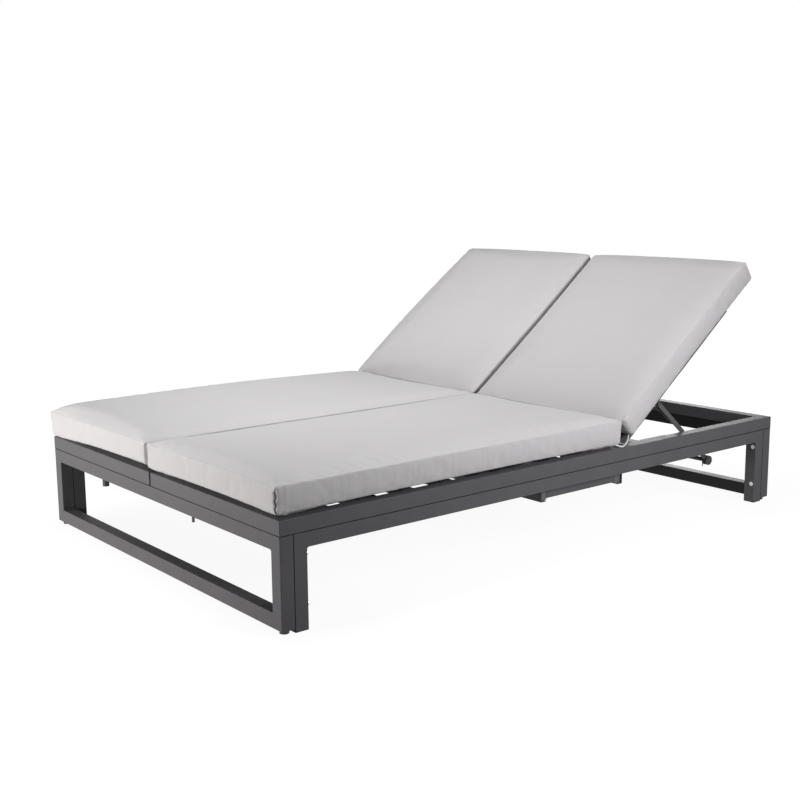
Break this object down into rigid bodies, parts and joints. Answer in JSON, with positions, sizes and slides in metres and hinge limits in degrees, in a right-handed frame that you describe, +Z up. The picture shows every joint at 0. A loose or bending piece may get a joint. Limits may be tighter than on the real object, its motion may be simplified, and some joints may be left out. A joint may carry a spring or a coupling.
{
  "type": "outdoor sofa bed",
  "caption": "Low outdoor daybed for a couple: tube frame, slatted decks side by side, hinged backrests propped in toothed racks, slide-out side trays and loose box cushions.",
  "frame": {"origin": "on the floor, under the middle of the frame's outline", "axes": "+X to the right seen from the foot end, +Y from the foot end to the head end, +Z up"},
  "size_m": [1.32, 2, 0.8164],
  "materials": {
    "frame_metal": "satin charcoal powder coat",
    "tray_metal": "satin charcoal powder coat",
    "steel_hardware": "zinc plated, satin",
    "black_plastic": "moulded, matte",
    "cushion_fabric": "plain woven outdoor canvas, light warm grey"
  },
  "bodies": {
    "base": {"front_loop": "frame_metal", "rear_loop": "frame_metal", "side_frame_right": "frame_metal", "side_frame_left": "frame_metal", "cross_member_front": "frame_metal", "cross_member_middle": "frame_metal", "glides": "black_plastic", "leg_caps": "black_plastic", "corner_bolts": "steel_hardware", "rivet_nuts": "steel_hardware", "deck_bolts": "steel_hardware", "deck_nuts": "steel_hardware", "deck_knob": "black_plastic", "deck_frame_right": "frame_metal", "deck_frame_left": "frame_metal", "seat_slats_right": "frame_metal", "seat_slats_left": "frame_metal", "hinge_rail_right": "frame_metal", "hinge_rail_left": "frame_metal", "rest_bar_right": "frame_metal", "rest_bar_left": "frame_metal", "pivot_bolts_right": "steel_hardware", "pivot_bolts_left": "steel_hardware", "pivot_washers_right": "black_plastic", "pivot_washers_left": "black_plastic", "rack_right": "frame_metal", "rack_left": "frame_metal", "tray_runners": "tray_metal", "seat_cushion_right": "cushion_fabric", "seat_cushion_left": "cushion_fabric"},
    "backrest_right": {"backrest_frame_right": "frame_metal", "backrest_slats_right": "frame_metal", "prop_lugs_right": "frame_metal"},
    "prop_right": {"prop_arms_right": "frame_metal", "prop_pins_right": "steel_hardware", "prop_rod_right": "steel_hardware", "prop_sleeve_right": "black_plastic", "prop_discs_right": "black_plastic", "prop_nuts_right": "steel_hardware", "cotter_pins_right": "steel_hardware"},
    "back_cushion_right": {"back_cushion_right": "cushion_fabric"},
    "tray_right": {"tray_frame_right": "tray_metal", "tray_panel_right": "tray_metal", "tray_sliders_right": "black_plastic"},
    "backrest_left": {"backrest_frame_left": "frame_metal", "backrest_slats_left": "frame_metal", "prop_lugs_left": "frame_metal"},
    "prop_left": {"prop_arms_left": "frame_metal", "prop_pins_left": "steel_hardware", "prop_rod_left": "steel_hardware", "prop_sleeve_left": "black_plastic", "prop_discs_left": "black_plastic", "prop_nuts_left": "steel_hardware", "cotter_pins_left": "steel_hardware"},
    "back_cushion_left": {"back_cushion_left": "cushion_fabric"},
    "tray_left": {"tray_frame_left": "tray_metal", "tray_panel_left": "tray_metal", "tray_sliders_left": "black_plastic"}
  },
  "joints": [
    {"name": "backrest_right_hinge", "type": "hinge", "parent": "base", "child": "backrest_right", "pos_m": [0.332, 0.27, 0.28], "axis": [1, 0, 0], "range_deg": [-37.6, 22.4]},
    {"name": "prop_right_hinge", "type": "hinge", "parent": "backrest_right", "child": "prop_right", "pos_m": [0.332, 0.45998, 0.39223], "axis": [1, 0, 0], "range_deg": [-38.4, 64.4]},
    {"name": "back_cushion_right_slide", "type": "slide", "parent": "backrest_right", "child": "back_cushion_right", "axis": [0, 0.7923, 0.6101], "range_m": [-0.0771, 0.0459]},
    {"name": "tray_right_slide", "type": "slide", "parent": "base", "child": "tray_right", "axis": [1, 0, 0], "range_m": [0, 0.3]},
    {"name": "backrest_left_hinge", "type": "hinge", "parent": "base", "child": "backrest_left", "pos_m": [-0.332, 0.27, 0.28], "axis": [1, 0, 0], "range_deg": [-37.6, 22.4]},
    {"name": "prop_left_hinge", "type": "hinge", "parent": "backrest_left", "child": "prop_left", "pos_m": [-0.332, 0.45998, 0.39223], "axis": [1, 0, 0], "range_deg": [-38.4, 64.4]},
    {"name": "back_cushion_left_slide", "type": "slide", "parent": "backrest_left", "child": "back_cushion_left", "axis": [0, 0.7923, 0.6101], "range_m": [-0.0771, 0.0459]},
    {"name": "tray_left_slide", "type": "slide", "parent": "base", "child": "tray_left", "axis": [-1, 0, 0], "range_m": [0, 0.3]}
  ],
  "couplings": [
    {"joint": "prop_right_hinge", "follows": "backrest_right_hinge", "ratio": -1.71},
    {"joint": "back_cushion_right_slide", "follows": "backrest_right_hinge", "m_per_rad": 0.1173},
    {"joint": "prop_left_hinge", "follows": "backrest_left_hinge", "ratio": -1.71},
    {"joint": "back_cushion_left_slide", "follows": "backrest_left_hinge", "m_per_rad": 0.1173}
  ]
}
